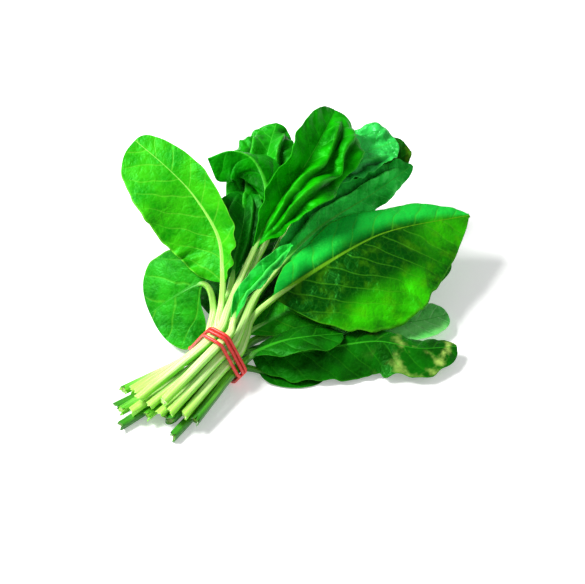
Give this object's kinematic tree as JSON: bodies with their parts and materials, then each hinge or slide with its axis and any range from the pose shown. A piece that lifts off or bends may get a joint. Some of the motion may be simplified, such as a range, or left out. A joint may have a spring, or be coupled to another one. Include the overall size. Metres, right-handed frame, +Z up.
{
  "type": "spinach bunch",
  "caption": "Fresh spinach bunch lying on its side: grooved pale stalks tied with a rubber band, broad folded and waved green leaves fanned out beyond the tie",
  "frame": {"origin": "middle of the outer box in plan, on the surface that the bunch lies on", "axes": "+X runs along the bunch from the cut stalk ends to the leaf tips, +Y is across it to the left seen from the cut ends, +Z is up"},
  "size_m": [0.2698, 0.2318, 0.0962],
  "materials": {
    "blade_bright": "fresh bright green leaf, waxy with soft gloss and paler veins",
    "blade_deep": "fresh deep green leaf, waxy with bluish gloss and paler veins",
    "stalk_pale": "smooth moist stalk, cream to yellow-green, glossy",
    "stalk_green": "smooth moist stalk, mid green, glossy",
    "band_rubber": "stretched red rubber, satin"
  },
  "bodies": {
    "root": {"stem_upper_left": "stalk_pale", "blade_upper_left": "blade_bright", "stem_left_low": "stalk_pale", "blade_left_low": "blade_bright", "stem_left_fold": "stalk_pale", "blade_left_fold": "blade_bright", "stem_left_centre": "stalk_pale", "blade_left_centre": "blade_deep", "stem_top_left_back": "stalk_pale", "blade_top_left_back": "blade_bright", "stem_central_crest": "stalk_pale", "blade_central_crest": "blade_bright", "stem_right_crinkled": "stalk_pale", "blade_right_crinkled": "blade_bright", "stem_right_curl": "stalk_pale", "blade_right_curl": "blade_deep", "stem_long_roll": "stalk_pale", "blade_long_roll": "blade_bright", "stem_big_right": "stalk_pale", "blade_big_right": "blade_bright", "stem_behind_right": "stalk_pale", "blade_behind_right": "blade_bright", "stem_right_tip": "stalk_green", "blade_right_tip": "blade_bright", "stem_bottom_right": "stalk_green", "blade_bottom_right": "blade_deep", "stem_table_right": "stalk_green", "blade_table_right": "blade_deep", "stem_right_fold": "stalk_green", "blade_right_fold": "blade_deep", "stem_table_left": "stalk_green", "blade_table_left": "blade_deep", "stem_table_back": "stalk_green", "blade_table_back": "blade_deep", "stem_inner_small": "stalk_pale", "blade_inner_small": "blade_bright", "rubber_band": "band_rubber"}
  },
  "joints": []
}
